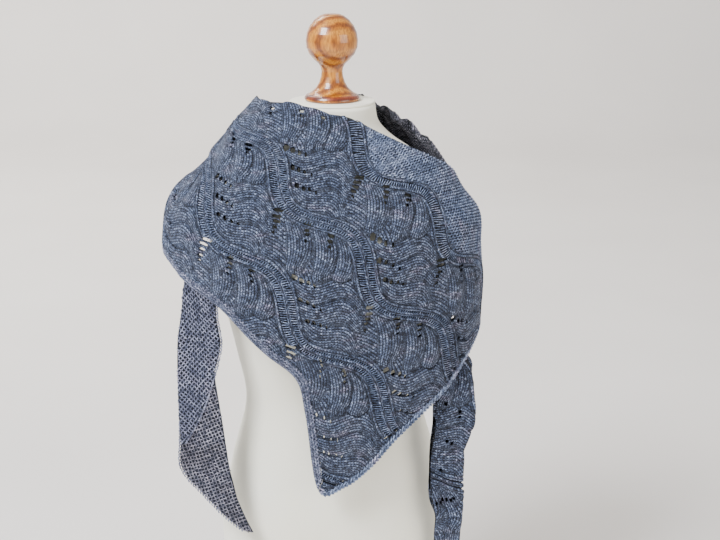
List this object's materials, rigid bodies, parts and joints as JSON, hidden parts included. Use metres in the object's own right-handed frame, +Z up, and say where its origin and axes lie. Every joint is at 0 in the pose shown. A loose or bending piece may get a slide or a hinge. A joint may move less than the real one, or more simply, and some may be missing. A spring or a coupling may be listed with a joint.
{
  "type": "triangle shawl on dress form",
  "caption": "Hand-knitted lace triangle shawl draped with its point in front over a limbless dress form with a turned finial.",
  "frame": {"origin": "centre of the underside of the dress form's round base", "axes": "+Z up the pole and neck, the shawl's front faces -Y, +X to the right of someone who looks at the front"},
  "size_m": [0.4351, 0.2885, 0.914],
  "materials": {
    "lace_knit": "matte hand-knitted wool",
    "garter_knit": "matte hand-knitted wool",
    "edging_knit": "matte hand-knitted wool",
    "jersey": "smooth stretched jersey",
    "turned_wood": "glossy varnish"
  },
  "bodies": {
    "root": {"shawl_front": "lace_knit", "front_left_edging": "edging_knit", "front_right_edging": "edging_knit", "shawl_lace_wing": "lace_knit", "shawl_collar": "lace_knit", "shawl_garter_wing": "garter_knit", "left_tail_flap": "garter_knit", "left_tail_under": "garter_knit", "shawl_right_tail": "lace_knit", "torso": "jersey", "neck_cap": "jersey", "finial": "turned_wood", "stand_pole": "turned_wood", "stand_base": "turned_wood"}
  },
  "joints": []
}
